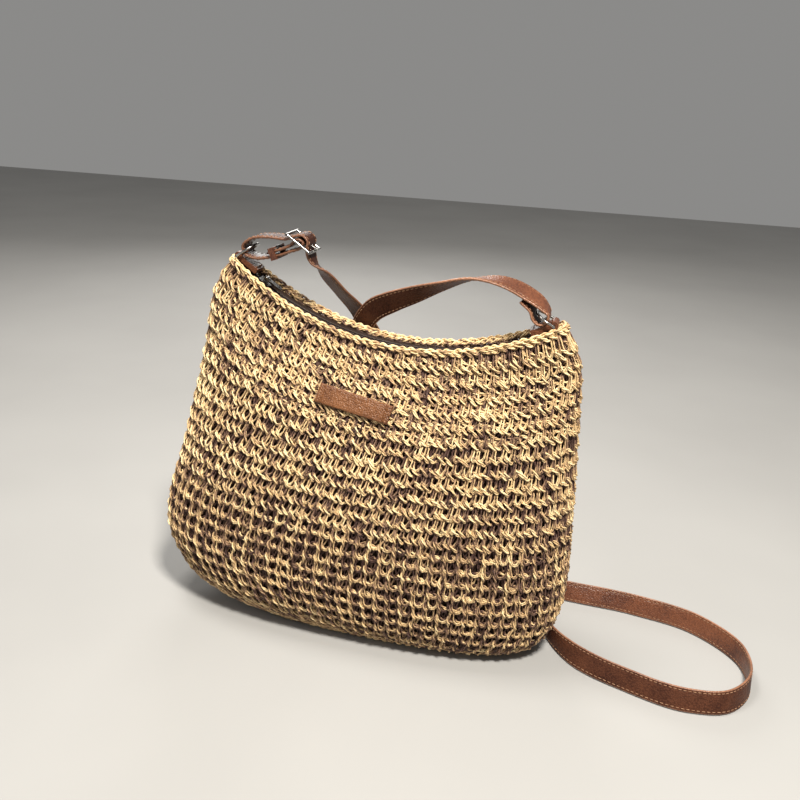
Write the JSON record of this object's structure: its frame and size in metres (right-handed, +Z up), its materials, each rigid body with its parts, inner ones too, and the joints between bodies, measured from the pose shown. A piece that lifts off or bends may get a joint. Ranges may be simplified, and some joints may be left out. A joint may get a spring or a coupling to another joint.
{
  "type": "hobo_bag",
  "caption": "Crocheted paper-straw hobo bag with a zipped dipping mouth, a plain leather label, and one long brown leather strap with a buckle, draped behind it.",
  "frame": {"origin": "on the surface the bag stands on, under the middle of the bag's own box, the strap's loop not counted", "axes": "+X runs along the bag's long side to the side where the strap lies on the surface, the front with the label faces -Y, +Z is up"},
  "size_m": [0.5029, 0.1402, 0.3282],
  "materials": {
    "straw": "twisted paper yarn, matt, mottled straw and tan",
    "leather": "pebbled, satin",
    "lining_cloth": "matt woven",
    "zip_tape": "matt herringbone",
    "zip_coil": "satin",
    "plated_metal": "polished",
    "thread": "matt thread"
  },
  "bodies": {
    "bag": {"crochet_shell": "straw", "rim_edging": "straw", "lining": "lining_cloth", "zip_tape_front": "zip_tape", "zip_tape_back": "zip_tape", "zip_coil_front": "zip_coil", "zip_coil_back": "zip_coil", "zip_top_stops": "plated_metal", "zip_bottom_stop": "plated_metal", "ring_tab_left": "leather", "ring_tab_right": "leather", "tab_stitches_left": "thread", "tab_stitches_right": "thread", "strap": "leather", "strap_keeper": "leather", "buckle_frame": "plated_metal", "label": "leather", "label_stitches": "thread"},
    "slider": {"zip_slider": "plated_metal"},
    "pull": {"zip_pull": "plated_metal"},
    "left_ring": {"d_ring_left": "plated_metal"},
    "right_ring": {"d_ring_right": "plated_metal"},
    "prong": {"buckle_prong": "plated_metal"}
  },
  "joints": [
    {"name": "zip_run", "type": "hinge", "parent": "bag", "child": "slider", "pos_m": [0.04273, 0, 0.47491], "axis": [0, -1, 0], "range_deg": [0, 51.4]},
    {"name": "pull_tilt", "type": "hinge", "parent": "slider", "child": "pull", "pos_m": [-0.07988, 0, 0.28968], "axis": [0, -1, 0], "range_deg": [0, 100]},
    {"name": "left_ring_tilt", "type": "hinge", "parent": "bag", "child": "left_ring", "pos_m": [-0.1005, 0, 0.30721], "axis": [0, -1, 0], "range_deg": [-6, 6]},
    {"name": "right_ring_tilt", "type": "hinge", "parent": "bag", "child": "right_ring", "pos_m": [0.14387, 0, 0.27894], "axis": [0, -1, 0], "range_deg": [-6, 6]},
    {"name": "prong_lift", "type": "hinge", "parent": "bag", "child": "prong", "pos_m": [-0.05, 0, 0.321], "axis": [0, -1, 0], "range_deg": [0, 12]}
  ]
}
